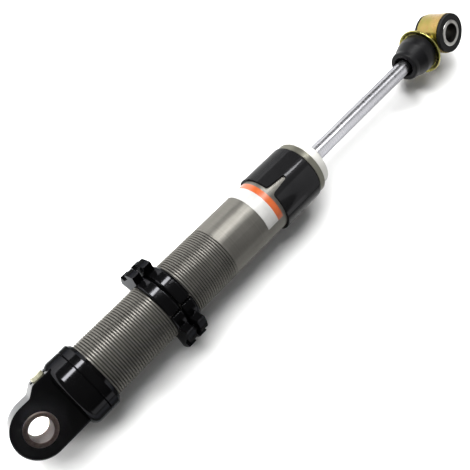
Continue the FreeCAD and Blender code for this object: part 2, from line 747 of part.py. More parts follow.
# Seal head and the pieces it holds.
turnedPiece("seal_head", [
    (None, "guideRadius"), ("guideLength", "guideRadius"), ("guideLength", "rodClear"),
    ("rodSealStart", "rodClear"), ("rodSealStart", "rodSealRadius"), ("rodSealEnd", "rodSealRadius"),
    ("rodSealEnd", "rodClear"), ("wiperSeat", "rodClear"), ("wiperSeat", "wiperRadius"),
    ("headLength", "wiperRadius"), ("headLength", "headEdgeRadius"), ("headEdgeAt", "headBossRadius"),
    ("headFlangeEnd", "headBossRadius"), ("headFlangeEnd", "headFlangeRadius"),
    ("headRimEnd", "headFlangeRadius"), ("headRimEnd", "headRimRadius"), ("headRimAt", "headRimRadius"),
    ("headRimAt", "headRadius"), ("headGrooveEnd", "headRadius"), ("headGrooveEnd", "headGrooveRadius"),
    ("headMainLength", "headGrooveRadius"), ("headMainLength", "headRadius"), ("headSealEnd", "headRadius"),
    ("headSealEnd", "headSealFloor"), ("headSealInset", "headSealFloor"), ("headSealInset", "headRadius"),
    (None, "headRadius"),
], "headAt")
plainRing("rod_bush", "headAt", "guideLength", "guideFit", "rodFit")
plainRing("rod_seal", "rodSealAt", "rodSealLength", "rodSealFit", "rodFit")
plainRing("rod_wiper", "wiperAt", "wiperLength", "wiperFit", "rodFit")
plainRing("head_seal", "headSealAt", "headSealWidth", "headRadius", "headSealFloor")
plainRing("head_ring", "wireAt", "wireSection", "wireOuter", "wireInner")

# Rod with a spigot that carries the piston and its valve stack.
turnedPiece("piston_rod", [
    (None, None), ("rodLength", None), ("rodLength", "rodEdgeRadius"), ("rodEdgeAt", "rodRadius"),
    ("spigotLength", "rodRadius"), ("spigotLength", "spigotRadius"), ("rodEdge", "spigotRadius"),
    (None, "spigotEdgeRadius"),
], "rodAt")
nutBlank = doc.addObject("Part::Prism", "piston_nut_blank")
nutBlank.Polygon = nutSides
nutBlank.Placement = FreeCAD.Placement(origin, FreeCAD.Rotation(upward, alongX))
nutBlank.setExpression("Circumradius", "Sizes.nutCorner")
nutBlank.setExpression("Height", "Sizes.nutLength")
setBase(nutBlank, "nutAt")
cutPiece("piston_nut", nutBlank, [cylinder("nutHole", "spigotFit", "nutLength", ("nutAt",), alongX)])
plainRing("compression_plate", "compressionPlateAt", "plateThickness", "plateRadius", "spigotFit")
turnedPiece("compression_shims", [
    (None, "spigotFit"), ("shimStack", "spigotFit"), ("shimStack", "shimRadius"), ("shimMid", "shimRadius"),
    ("shimMid", "shimStepRadius"), (None, "shimStepRadius"),
], "compressionShimsAt")
piston = newBody("piston")
turn(piston, "pistonTurned", [
    (None, "spigotFit"), ("pistonLength", "spigotFit"), ("pistonLength", "pistonRadius"),
    ("bandGrooveEnd", "pistonRadius"), ("bandGrooveEnd", "bandGrooveRadius"),
    ("bandGrooveStart", "bandGrooveRadius"), ("bandGrooveStart", "pistonRadius"), (None, "pistonRadius"),
])
portSketch = newSketch(piston, "portOutline", "YZ_Plane")
drawCircle(portSketch, "portRadius", "portCircle")
portPocket = extrude(piston, portSketch, "portPocket", "PartDesign::Pocket", "portCut")
portPattern = roundPattern(piston, portPocket, "portPattern", "portStep")
portPattern.setExpression("Occurrences", "Sizes.portCount")
setBase(piston, "pistonAt")
pieces.append(piston)
plainRing("piston_band", "bandAt", "bandLength", "bandOuter", "bandInner")
turnedPiece("rebound_shims", [
    (None, "spigotFit"), ("shimStack", "spigotFit"), ("shimStack", "shimStepRadius"),
    ("shimMid", "shimStepRadius"), ("shimMid", "shimRadius"), (None, "shimRadius"),
], "reboundShimsAt")
plainRing("rebound_plate", "reboundPlateAt", "plateThickness", "plateRadius", "spigotFit")
plainRing("topout_spacer", "spacerAt", "spacerLength", "spacerRadius", "rodFit")

# Bump stop and its dished cup.
turnedPiece("bump_stop", [
    (None, "bumpMouth"), ("bumpMouthDepth", "bumpMouth"), ("bumpMouthDepth", "rodFit"),
    ("bumpLength", "rodFit"), ("bumpLength", "bumpEnd"), ("bumpEndAt", "bumpWide"),
    ("bumpWideAt", "bumpWide"), ("bumpConeAt", "bumpCone"), ("bumpLipRun", "bumpLipFull"),
    ("bumpNoseRun", "bumpLip"), (None, "bumpNose"),
], "bumpAt")
turnedPiece("bump_cup", [
    ("cupDish", "rodFit"), ("cupBack", "rodFit"), ("cupBack", "cupFlat"), ("cupThickness", "cupRadius"),
    (None, "cupRadius"), ("cupDish", "cupFlat"),
], "cupAt")

# Rod eye: a loop about its own tilted axis with a turned neck that takes the rod's end.
loopBody = newBody("rod_eye_loop")
loopSketch = newSketch(loopBody, "loopOutline", "XY_Plane")
drawCircle(loopSketch, "loopRadius")
extrude(loopBody, loopSketch, "loopPad", "PartDesign::Pad", "loopLength")
turnAboutX(loopBody, "rodEyeTurn")
setBase(loopBody, "rodEyeAt")
neckBody = newBody("rod_eye_neck")
turn(neckBody, "neckTurned", [
    (None, None), ("neckLength", None), ("neckLength", "neckEnd"), ("neckClear", "neckEnd"),
    (None, "neckRadius"),
])
setBase(neckBody, "neckAt")


def centreOnEye(piece, halfAlias):
    setBase(piece, "rodEyeAt")
    piece.setExpression("Placement.Base.y", "Sizes.%s * sin(Sizes.rodEyeTurn * 1deg)" % halfAlias)
    piece.setExpression("Placement.Base.z", "-Sizes.%s * cos(Sizes.rodEyeTurn * 1deg)" % halfAlias)


loopHole = cylinder("loopHole", "loopBore", "loopCut", (), upward)
turnAboutX(loopHole, "rodEyeTurn")
centreOnEye(loopHole, "loopCutHalf")
socket = cylinder("rodSocket", "rodFit", "socketLength", ("neckAt",), alongX)
cutPiece("rod_eye", joined("rod_eye_blank", [loopBody, neckBody]), [loopHole, socket])


def eyeRing(label, corners, halfAlias):
    piece = turnedPiece(label, corners, None)
    tilt = FreeCAD.Rotation(alongX, sizeOf("rodEyeTurn"))
    piece.Placement = FreeCAD.Placement(origin, tilt.multiply(FreeCAD.Rotation(alongX, upward)))
    centreOnEye(piece, halfAlias)


eyeRing("eye_rubber", [
    (None, "rubberBore"), ("rubberLength", "rubberBore"), ("rubberLength", "flangeRadius"),
    ("rubberFarFlange", "flangeRadius"), ("rubberFarFlange", "rubberRadius"),
    ("flangeThickness", "rubberRadius"), ("flangeThickness", "flangeRadius"), (None, "flangeRadius"),
], "rubberHalf")
eyeRing("eye_sleeve", [
    (None, "innerSleeveBore"), ("innerSleeveLength", "innerSleeveBore"),
    ("innerSleeveLength", "innerSleeveEdgeRadius"), ("innerSleeveEdgeAt", "innerSleeveRadius"),
    ("innerSleeveEdge", "innerSleeveRadius"), (None, "innerSleeveEdgeRadius"),
], "innerSleeveHalf")

# Floating piston between the oil and the gas.
turnedPiece("floating_piston", [
    (None, None), ("floatCupAt", None), ("floatCupAt", "floatCupRadius"), ("floatLength", "floatCupRadius"),
    ("floatLength", "pistonRadius"), ("floatBandEnd", "pistonRadius"), ("floatBandEnd", "floatGrooveRadius"),
    ("floatBandInset", "floatGrooveRadius"), ("floatBandInset", "pistonRadius"),
    ("floatSealEnd", "pistonRadius"), ("floatSealEnd", "floatGrooveRadius"),
    ("floatSealInset", "floatGrooveRadius"), ("floatSealInset", "pistonRadius"), (None, "pistonRadius"),
], "floatAt")
plainRing("floating_seal", "floatSealAt", "floatSealWidth", "floatFit", "floatGrooveFit")
plainRing("floating_band", "floatBandAt", "floatBandWidth", "floatFit", "floatGrooveFit")

doc.recompute()
for item in doc.Objects:
    if "Invalid" in item.State or "Error" in item.State:
        raise RuntimeError("%s did not build: %s" % (item.Label, item.State))
for piece in pieces:
    shape = piece.Shape
    if shape.isNull() or not shape.isValid() or len(shape.Solids) != 1:
        raise RuntimeError("%s is not one valid solid" % piece.Label)
os.makedirs("parts", exist_ok=True)
for piece in pieces:
    piece.Shape.exportStep("parts/%s.step" % piece.Label)
    print(piece.Label, round(piece.Shape.Volume, 1))
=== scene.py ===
import math

import bpy
from mathutils import Matrix, Vector


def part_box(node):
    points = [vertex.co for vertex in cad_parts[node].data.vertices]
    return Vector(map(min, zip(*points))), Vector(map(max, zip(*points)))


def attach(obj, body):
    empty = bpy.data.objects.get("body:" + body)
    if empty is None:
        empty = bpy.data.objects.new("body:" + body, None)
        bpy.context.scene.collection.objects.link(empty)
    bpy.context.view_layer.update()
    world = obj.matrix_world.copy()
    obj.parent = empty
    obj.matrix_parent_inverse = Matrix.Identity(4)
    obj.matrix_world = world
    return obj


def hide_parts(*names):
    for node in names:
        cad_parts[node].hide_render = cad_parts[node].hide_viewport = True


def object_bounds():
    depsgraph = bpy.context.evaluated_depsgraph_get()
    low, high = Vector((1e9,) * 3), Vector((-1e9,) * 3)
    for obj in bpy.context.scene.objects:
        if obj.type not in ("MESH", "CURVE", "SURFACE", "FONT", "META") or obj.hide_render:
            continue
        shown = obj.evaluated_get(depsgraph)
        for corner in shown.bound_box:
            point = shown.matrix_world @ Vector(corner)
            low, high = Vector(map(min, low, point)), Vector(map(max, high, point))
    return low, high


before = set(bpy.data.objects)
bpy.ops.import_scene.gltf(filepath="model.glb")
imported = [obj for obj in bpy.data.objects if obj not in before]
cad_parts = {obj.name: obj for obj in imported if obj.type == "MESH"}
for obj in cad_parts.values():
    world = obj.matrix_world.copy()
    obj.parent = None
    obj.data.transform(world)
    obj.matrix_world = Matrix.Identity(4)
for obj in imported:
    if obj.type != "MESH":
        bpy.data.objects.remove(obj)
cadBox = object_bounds()
mm = 0.001  # the frame is in metres, the pieces' settings are in millimetres
tiny = 1e-6  # points nearer than this are merged, in metres
noiseLow, noiseHigh = 0.3, 0.7  # nearly all of a noise lies between these
print("frame loaded:", len(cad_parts), "nodes")


# Small modelling helpers

def deselectAll():
    bpy.ops.object.select_all(action="DESELECT")


def editMode():
    bpy.ops.object.mode_set(mode="EDIT")


def objectMode():
    bpy.ops.object.mode_set(mode="OBJECT")


def makeActive(piece):
    deselectAll()
    piece.select_set(True)
    bpy.context.view_layer.objects.active = piece


def applyModifier(piece, kind, **settings):
    makeActive(piece)
    modifier = piece.modifiers.new(kind.title(), kind)
    for name, value in settings.items():
        setattr(modifier, name, value)
    bpy.ops.object.modifier_apply(modifier=modifier.name)


def mergeAndTurnOut():
    bpy.ops.mesh.select_all(action="SELECT")
    bpy.ops.mesh.remove_doubles(threshold=tiny)
    bpy.ops.mesh.normals_make_consistent(inside=False)


def smoothShade(piece, angle=40):
    makeActive(piece)
    bpy.ops.object.shade_smooth_by_angle(angle=math.radians(angle))


def roundCorners(corners, steps=5):
    # corners are (x, radius) or (x, radius, rounding); a rounded one becomes a short curve
    points = []
    count = len(corners)
    for i, corner in enumerate(corners):
        here = Vector(corner[:2])
        if len(corner) < 3:
            points.append(here)
            continue
        before = Vector(corners[i - 1][:2]) - here
        after = Vector(corners[(i + 1) % count][:2]) - here
        half = before.angle(after) / 2
        reach = min(corner[2] / math.tan(half), before.length * 0.49, after.length * 0.49)
        start = here + before.normalized() * reach
        end = here + after.normalized() * reach
        for k in range(steps + 1):
            u = k / steps
            points.append(start * (1 - u) ** 2 + here * 2 * u * (1 - u) + end * u ** 2)
    return points


def traceLine(name, points):
    deselectAll()
    bpy.ops.mesh.primitive_plane_add(size=mm)
    piece = bpy.context.object
    piece.name = name
    piece.data.name = name
    editMode()
    bpy.ops.mesh.select_mode(type="VERT")
    bpy.ops.mesh.merge(type="CENTER")
    bpy.ops.transform.translate(value=(points[0][0] * mm, points[0][1] * mm, 0))
    for last, point in zip(points, points[1:]):
        move = ((point[0] - last[0]) * mm, (point[1] - last[1]) * mm, 0)
        bpy.ops.mesh.extrude_region_move(TRANSFORM_OT_translate={"value": move})
    return piece


def turnOnLathe(name, corners, segments=96):
    points = roundCorners(corners)
    piece = traceLine(name, points + points[:1])
    mergeAndTurnOut()
    bpy.ops.mesh.select_all(action="SELECT")
    bpy.ops.mesh.spin(steps=segments, angle=2 * math.pi, center=(0, 0, 0), axis=(1, 0, 0))
    mergeAndTurnOut()
    objectMode()
    smoothShade(piece)
    return piece


brokenEdge = {
    "segments": 3,
    "sharp": 28,  # degrees from which an edge is broken
    "flat": 0.5,  # degrees up to which faces are joined first
    "smooth": 35,
    "weight": 80,
}


def softCopy(node, name, width, reshape=None):
    # a copy of a solid whose edges are broken as a maker would break them
    s = brokenEdge
    deselectAll()
    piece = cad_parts[node].copy()
    piece.data = piece.data.copy()
    piece.name = name
    piece.data.name = name
    piece.parent = None
    for key in list(piece.keys()):
        del piece[key]
    bpy.context.collection.objects.link(piece)
    makeActive(piece)
    bpy.ops.mesh.customdata_custom_splitnormals_clear()
    editMode()
    bpy.ops.mesh.select_all(action="SELECT")
    bpy.ops.mesh.remove_doubles(threshold=tiny)
    bpy.ops.mesh.dissolve_limited(angle_limit=math.radians(s["flat"]))
    objectMode()
    if reshape:
        reshape(piece)
    applyModifier(piece, "BEVEL", width=width * mm, segments=s["segments"], limit_method="ANGLE",
                  angle_limit=math.radians(s["sharp"]), use_clamp_overlap=True, harden_normals=False)
    smoothShade(piece, s["smooth"])
    applyModifier(piece, "WEIGHTED_NORMAL", keep_sharp=True, weight=s["weight"])  # broad faces stay even
    return piece


def dress(piece, finish, body, node):
    piece.data.materials.clear()
    piece.data.materials.append(finish)
    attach(piece, body)
    if node:
        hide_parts(node)


# Shader helpers

class Wire:
    def __init__(self, socket):
        self.socket = socket

    def node(self, kind, settings, sockets, output=0):
        tree = self.socket.id_data
        made = tree.nodes.new(kind)
        for name, value in settings.items():
            if name == "stops":
                marks = made.color_ramp.elements
                while len(marks) < len(value):
                    marks.new(1.0)
                for mark, (place, tone) in zip(marks, value):
                    mark.position = place
                    mark.color = colour(*tone)
            else:
                setattr(made, name, value)
        for name, value in sockets.items():
            if isinstance(value, Wire):
                tree.links.new(value.socket, made.inputs[name])
            else:
                made.inputs[name].default_value = value
        return Wire(made.outputs[output])

    def math(self, operation, first, second):
        return self.node("ShaderNodeMath", {"operation": operation}, {0: first, 1: second})

    def __add__(self, other):
        return self.math("ADD", self, other)

    def __radd__(self, other):
        return self.math("ADD", other, self)

    def __sub__(self, other):
        return self.math("SUBTRACT", self, other)

    def __rsub__(self, other):
        return self.math("SUBTRACT", other, self)

    def __mul__(self, other):
        return self.math("MULTIPLY", self, other)

    def __rmul__(self, other):
        return self.math("MULTIPLY", other, self)

    def __gt__(self, other):
        return self.math("GREATER_THAN", self, other)

    def noise(self, scale, detail=3, rough=0.5):
        return self.node("ShaderNodeTexNoise", {}, {
            "Vector": self, "Scale": scale, "Detail": detail, "Roughness": rough})

    def stretched(self, scale):
        return self.node("ShaderNodeMapping", {}, {"Vector": self, "Scale": scale})

    def ramp(self, *stops):
        return self.node("ShaderNodeValToRGB", {"stops": stops}, {"Fac": self})

    def tones(self, dark, light):
        return self.ramp((noiseLow, dark), (noiseHigh, light))

    def spread(self, low, high, newLow=0.0, newHigh=1.0):
        return self.node("ShaderNodeMapRange", {"interpolation_type": "SMOOTHSTEP"}, {
            "Value": self, "From Min": low, "From Max": high, "To Min": newLow, "To Max": newHigh})

    def levels(self, newLow, newHigh):
        return self.spread(noiseLow, noiseHigh, newLow, newHigh)

    def blend(self, first, second):
        sockets = {0: self, 6: first, 7: second}  # a Mix node's factor and its two colours
        return self.node("ShaderNodeMix", {"data_type": "RGBA"}, sockets, 2)

    def bump(self, strength, depth):
        return self.node("ShaderNodeBump", {}, {
            "Height": self, "Strength": strength, "Distance": depth * mm}, "Normal")

    def axes(self):
        split = self.node("ShaderNodeSeparateXYZ", {}, {"Vector": self}).socket.node
        return [Wire(output) for output in split.outputs]


def newFinish(name, **fixed):
    finish = bpy.data.materials.new(name)
    finish.use_nodes = True
    tree = finish.node_tree
    shader = tree.nodes["Principled BSDF"]
    for socket, value in fixed.items():
        shader.inputs[socket.replace("_", " ")].default_value = value
    coords = Wire(tree.nodes.new("ShaderNodeTexCoord").outputs["Object"])

    def feed(**wires):
        for socket, wire in wires.items():
            tree.links.new(wire.socket, shader.inputs[socket.replace("_", " ")])

    return finish, coords, feed


def colour(red, green, blue):
    return (red, green, blue, 1)


# Finishes

tubeTones = {"root": 21.35, "crest": 22.1, "underCollar": 22.4, "collar": 22.7}  # radii where tones change; the dark root tone is painted shade in the thread grooves


def anodisedTubeFinish():
    s = tubeTones
    finish, coords, feed = newFinish("anodisedTube", Metallic=0.6, Specular_Tint=colour(0.35, 0.34, 0.31))
    across, up = coords.axes()[1:]
    squared = across * across + up * up  # the radius, squared, tells crest from root and collar
    cloud = coords.noise(55, 4)
    lines = coords.stretched((2600, 14, 14)).noise(1.0, 2)  # faint turning lines round the tube
    tone = cloud * 0.5 + lines * 0.5
    plain = tone.tones((0.074, 0.071, 0.064), (0.099, 0.095, 0.086))
    crest = squared.spread((s["root"] * mm) ** 2, (s["crest"] * mm) ** 2)
    collar = squared.spread((s["underCollar"] * mm) ** 2, (s["collar"] * mm) ** 2)
    # the thread roots are painted nearly black: painted shade in the grooves between the crests
    shadedThreadRoots = crest.blend(colour(0.02, 0.019, 0.018), plain)
    feed(Base_Color=collar.blend(shadedThreadRoots, colour(0.085, 0.083, 0.068)),
         Roughness=cloud.levels(0.30, 0.37),
         Normal=lines.bump(0.12, 0.02))
    return finish


def blackAnodisedFinish():
    finish, coords, feed = newFinish("blackAnodised", Metallic=0.93, Specular_IOR_Level=0.1,
                                     Specular_Tint=colour(0.37, 0.375, 0.38))
    cloud = coords.noise(70, 3)
    grain = coords.noise(2600, 2)
    feed(Base_Color=cloud.tones((0.014, 0.014, 0.015), (0.017, 0.017, 0.018)),
         Roughness=cloud.levels(0.10, 0.15),
         Normal=grain.bump(0.02, 0.02))
    return finish


def sleevePlasticFinish():
    finish, coords, feed = newFinish("sleevePlastic", Metallic=0.5, Specular_IOR_Level=0.1,
                                     Specular_Tint=colour(0.25, 0.25, 0.26))
    cloud = coords.noise(40, 2)
    grain = coords.noise(1500, 2)
    feed(Base_Color=cloud.tones((0.009, 0.009, 0.0095), (0.012, 0.012, 0.0125)),
         Roughness=cloud.levels(0.06, 0.10),
         Normal=grain.bump(0.03, 0.03))
    return finish


def bronzeFinish():
    finish, coords, feed = newFinish("bronzeBush", Metallic=1.0)
    specks = coords.noise(900, 4, 0.7)
    feed(Base_Color=specks.tones((0.09, 0.068, 0.062), (0.17, 0.135, 0.125)),
         Roughness=specks.levels(0.35, 0.5),
         Normal=specks.bump(0.15, 0.05))
    return finish


def brassFinish():
    finish, coords, feed = newFinish("brassScrew", Metallic=0.4)
    cloud = coords.noise(300, 3)
    feed(Base_Color=cloud.tones((0.27, 0.26, 0.18), (0.34, 0.33, 0.25)),
         Roughness=cloud.levels(0.22, 0.34))
    return finish


def aluminiumFinish():
    finish, coords, feed = newFinish("turnedAluminium", Metallic=0.45)
    lines = coords.stretched((3200, 30, 30)).noise(1.0, 2)
    cloud = coords.noise(120, 3)
    feed(Base_Color=cloud.tones((0.37, 0.366, 0.345), (0.42, 0.416, 0.395)),
         Roughness=lines.levels(0.40, 0.52),
         Normal=lines.bump(0.1, 0.02))
    return finish


def chromeFinish():
    finish, coords, feed = newFinish("hardChrome", Metallic=1.0, Specular_Tint=colour(0.3, 0.3, 0.32))
    lines = coords.stretched((4200, 60, 60)).noise(1.0, 2)  # fine grinding marks
    cloud = coords.noise(60, 2)
    feed(Base_Color=cloud.tones((0.335, 0.335, 0.352), (0.375, 0.375, 0.392)),
         Roughness=lines.levels(0.24, 0.34),
         Normal=lines.bump(0.02, 0.01))
    return finish


boreShadeSettings = {
    "turn": 23.1,  # degrees that the rod eye is turned from upright
    "dark": 7.95,  # radii where the painted shade of the bore gives way to bright steel
    "bright": 8.35,
}


def steelFinish():
    s = boreShadeSettings
    turn = math.radians(s["turn"])
    finish, coords, feed = newFinish("plainSteel", Metallic=1.0)
    low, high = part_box("eye_sleeve")
    along, across, up = coords.axes()
    along = along - (low.x + high.x) / 2
    aside = across * math.cos(turn) + up * math.sin(turn)
    # inside the bore the steel is painted dark, as painted shade
    outside = (along * along + aside * aside).spread((s["dark"] * mm) ** 2, (s["bright"] * mm) ** 2)
    cloud = coords.noise(260, 4)
    bright = cloud.tones((0.34, 0.335, 0.315), (0.44, 0.435, 0.415))
    feed(Base_Color=outside.blend(colour(0.06, 0.058, 0.054), bright),  # the bore is painted dark: painted shade inside it
         Roughness=cloud.levels(0.28, 0.42),
         Normal=cloud.bump(0.08, 0.05))
    return finish


def springSteelFinish():
    finish, coords, feed = newFinish("springSteel", Metallic=1.0)
    cloud = coords.noise(400, 3)
    feed(Base_Color=cloud.tones((0.38, 0.38, 0.40), (0.50, 0.50, 0.52)),
         Roughness=cloud.levels(0.2, 0.32))
    return finish


eyeZinc = {
    "name": "yellowZinc",
    "gold": [(0.30, (0.20, 0.10, 0.035)), (0.44, (0.26, 0.165, 0.055)),
             (0.56, (0.22, 0.20, 0.05)), (0.70, (0.28, 0.13, 0.06))],
    "olive": [(0.38, (0.15, 0.165, 0.03)), (0.62, (0.29, 0.205, 0.075))],
}
cupZinc = {
    "name": "greenishZinc",
    "gold": [(0.30, (0.21, 0.17, 0.05)), (0.44, (0.31, 0.26, 0.085)),
             (0.56, (0.24, 0.25, 0.065)), (0.70, (0.32, 0.22, 0.09))],
    "olive": [(0.38, (0.18, 0.20, 0.045)), (0.62, (0.35, 0.31, 0.12))],
}


def yellowZincFinish(s):
    finish, coords, feed = newFinish(s["name"], Metallic=1.0)
    cloud = coords.noise(110, 3)
    drift = coords.stretched((40, 60, 60)).noise(1.0, 2)
    feed(Base_Color=drift.blend(cloud.ramp(*s["gold"]), drift.ramp(*s["olive"])),
         Roughness=cloud.levels(0.24, 0.4),
         Normal=coords.noise(900, 3).bump(0.12, 0.05))
    return finish


def rubberFinish(name, dark, light, gloss):
    finish, coords, feed = newFinish(name, Specular_IOR_Level=0.08)
    grain = coords.noise(1400, 3, 0.6)
    cloud = coords.noise(80, 3)
    feed(Base_Color=cloud.tones(dark, light),
         Roughness=cloud.levels(gloss - 0.05, gloss + 0.05),
         Normal=grain.bump(0.2, 0.06))
    return finish


def whitePlasticFinish():
    finish, coords, feed = newFinish("whitePlastic")
    cloud = coords.noise(200, 3)
    feed(Base_Color=cloud.tones((0.72, 0.71, 0.67), (0.82, 0.81, 0.78)),
         Roughness=cloud.levels(0.38, 0.5))
    return finish


tubeFinish = anodisedTubeFinish()
blackFinish = blackAnodisedFinish()
plasticFinish = sleevePlasticFinish()
bushFinish = bronzeFinish()
screwFinish = brassFinish()
headFinish = aluminiumFinish()
rodFinish = chromeFinish()
sleeveFinish = steelFinish()
springFinish = springSteelFinish()
eyeZincFinish = yellowZincFinish(eyeZinc)
cupZincFinish = yellowZincFinish(cupZinc)
bumpFinish = rubberFinish("bumpRubber", (0.003, 0.003, 0.0033), (0.005, 0.005, 0.0054), 0.36)
flangeFinish = rubberFinish("eyeRubber", (0.005, 0.005, 0.005), (0.010, 0.010, 0.010), 0.55)
sealFinish = rubberFinish("sealRubber", (0.012, 0.012, 0.012), (0.020, 0.020, 0.020), 0.40)
bandFinish = whitePlasticFinish()
print("finishes made")

nodeFinishes = {
    tubeFinish: ["body_tube"],
    blackFinish: ["end_cap", "lock_ring", "preload_ring"],
    plasticFinish: ["spring_sleeve"],
    bushFinish: ["eye_bush", "rod_bush"],
    screwFinish: ["fill_screw"],
    headFinish: ["seal_head", "piston", "topout_spacer", "floating_piston"],
    rodFinish: ["piston_rod"],
    sleeveFinish: ["eye_sleeve", "piston_nut"],
    springFinish: ["head_ring", "compression_plate", "compression_shims", "rebound_shims", "rebound_plate"],
    cupZincFinish: ["bump_cup"],
    eyeZincFinish: ["rod_eye"],
    bumpFinish: ["bump_stop"],
    flangeFinish: ["eye_rubber"],
    sealFinish: ["cap_seal", "fill_seal", "rod_seal", "rod_wiper", "head_seal", "floating_seal"],
    bandFinish: ["piston_band", "floating_band"],
}
for finish, names in nodeFinishes.items():
    for name in names:
        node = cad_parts[name]
        node.data.materials.clear()
        node.data.materials.append(finish)


# Threaded body tube: one helix of thread cut square at both ends, then drawn on into the plain tube

threadedTube = {
    "pitch": 1.953,
    "depth": 0.95,
    "crestAt": 42.79,  # crest of the first turn, on the +Y side
    "turns": 65,
    "steps": 72,
    "cutStart": 44.5,  # hidden in the end cap
    "runIn": 1.0,
    "runOutEnd": 167.3,
    "runOut": 2.6,
    "crestFlat": 0.16,  # half of the crest, the corner beside it and the root, as parts of the pitch
    "crestCorner": 0.2,
    "rootCorner": 0.46,
    "crestDrop": 0.05,
    "bore": 19.05,
    "collarAt": 260.2,
    "collarStep": 0.975,  # the tube steps up to the collar
    "collarEdge": 0.35,
    "filletLength": 0.3,
    "filletRise": 0.1,
    "endEdge": 0.4,
    "joinGap": 0.4,
    "nearEdge": 0.05,
}


def selectRing(piece, *places):
    # selects the open edges of the tube that stand at these places along it
    bpy.ops.mesh.select_mode(type="EDGE")
    bpy.ops.mesh.select_all(action="DESELECT")
    bpy.ops.mesh.select_non_manifold(extend=False, use_wire=False, use_boundary=True,
                                     use_multi_face=False, use_non_contiguous=False, use_verts=False)
    objectMode()
    near = threadedTube["nearEdge"]
    points = piece.data.vertices
    for edge in piece.data.edges:
        middle = (points[edge.vertices[0]].co.x + points[edge.vertices[1]].co.x) / 2 / mm
        edge.select = edge.select and any(abs(middle - place) < near for place in places)
    for face in piece.data.polygons:
        face.select = False
    for point in points:
        point.select = False
    for edge in piece.data.edges:
        if edge.select:
            for index in edge.vertices:
                points[index].select = True
    editMode()


def makeThreadedTube():
    s = threadedTube
    low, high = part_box("body_tube")
    farEnd = high.x / mm
    nearEnd = low.x / mm
    collar = high.z / mm
    crest = collar - s["collarStep"]
    root = crest - s["depth"]
    pitch = s["pitch"]
    half = [(s["crestFlat"], crest), (s["crestCorner"], crest - s["crestDrop"]),
            (s["rootCorner"], root), (0.5, root)]
    form = [(-part, radius) for part, radius in reversed(half)] + half
    piece = traceLine("threadedTube", [(s["crestAt"] + part * pitch, radius) for part, radius in form])
    objectMode()
    applyModifier(piece, "SCREW", axis="X", angle=2 * math.pi, screw_offset=pitch * mm,
                  iterations=s["turns"], steps=s["steps"], render_steps=s["steps"],
                  use_merge_vertices=True, merge_threshold=tiny)

    # the thread fades out to the tube's own radius at both cuts
    for vertex in piece.data.vertices:
        x = vertex.co.x / mm
        radius = math.hypot(vertex.co.y, vertex.co.z) / mm
        fadeIn = (s["cutStart"] + s["runIn"] - x) / s["runIn"]
        fadeOut = (x - s["runOutEnd"] + s["runOut"]) / s["runOut"]
        fade = min(max(fadeIn, fadeOut, 0.0), 1.0)
        factor = (radius + (crest - radius) * fade) / radius
        vertex.co.y *= factor
        vertex.co.z *= factor

    editMode()
    for place, side in ((s["cutStart"], -1), (s["runOutEnd"], 1)):
        bpy.ops.mesh.select_all(action="SELECT")
        bpy.ops.mesh.bisect(plane_co=(place * mm, 0, 0), plane_no=(side, 0, 0), clear_outer=True,
                            threshold=tiny / 10)
    bpy.ops.mesh.select_all(action="SELECT")
    bpy.ops.mesh.remove_doubles(threshold=tiny)

    step, bore, edge, endEdge = s["collarAt"], s["bore"], s["collarEdge"], s["endEdge"]
    join = s["cutStart"] - s["joinGap"]
    rings = [(step - s["filletLength"], crest), (step, crest + s["filletRise"]), (step, collar - edge),
             (step + edge, collar), (farEnd - edge, collar), (farEnd, collar - edge),
             (farEnd, bore + endEdge), (farEnd - endEdge, bore), (nearEnd, bore),
             (nearEnd, crest - endEdge), (nearEnd + endEdge, crest), (join, crest)]
    selectRing(piece, s["runOutEnd"])
    x, radius = s["runOutEnd"], crest
    for nextX, nextRadius in rings:
        scale = nextRadius / radius
        bpy.ops.mesh.extrude_region_move(TRANSFORM_OT_translate={"value": ((nextX - x) * mm, 0, 0)})
        bpy.ops.transform.resize(value=(1, scale, scale), center_override=(nextX * mm, 0, 0))
        x, radius = nextX, nextRadius
    selectRing(piece, join, s["cutStart"])
    bpy.ops.mesh.bridge_edge_loops()
    mergeAndTurnOut()
    objectMode()
    smoothShade(piece, 30)
    dress(piece, tubeFinish, "body", "body_tube")


makeThreadedTube()
print("threaded tube made")


# Pieces with broken edges, each from its solid

capRim = {"edge": 1.0, "wider": 1.5, "near": 0.02}


def widenCapRim(piece):
    # draws the chamfer round the cap's open end further back along both its faces
    s = capRim
    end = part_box("end_cap")[1].x / mm
    onSide, onEnd = [], []
    for vertex in piece.data.vertices:
        x = vertex.co.x / mm
        radius = math.hypot(vertex.co.y, vertex.co.z) / mm
        if abs(x - end + s["edge"]) < s["near"]:
            onSide.append((vertex, radius))
        elif abs(x - end) < s["near"]:
            onEnd.append((vertex, radius))
    rim = max(radius for vertex, radius in onSide)
    for vertex, radius in onSide:
        if abs(radius - rim) < s["near"]:
            vertex.co.x -= s["wider"] * mm
    for vertex, radius in onEnd:
        if abs(radius - rim + s["edge"]) < s["near"]:
            vertex.co.y *= 1 - s["wider"] / radius
            vertex.co.z *= 1 - s["wider"] / radius


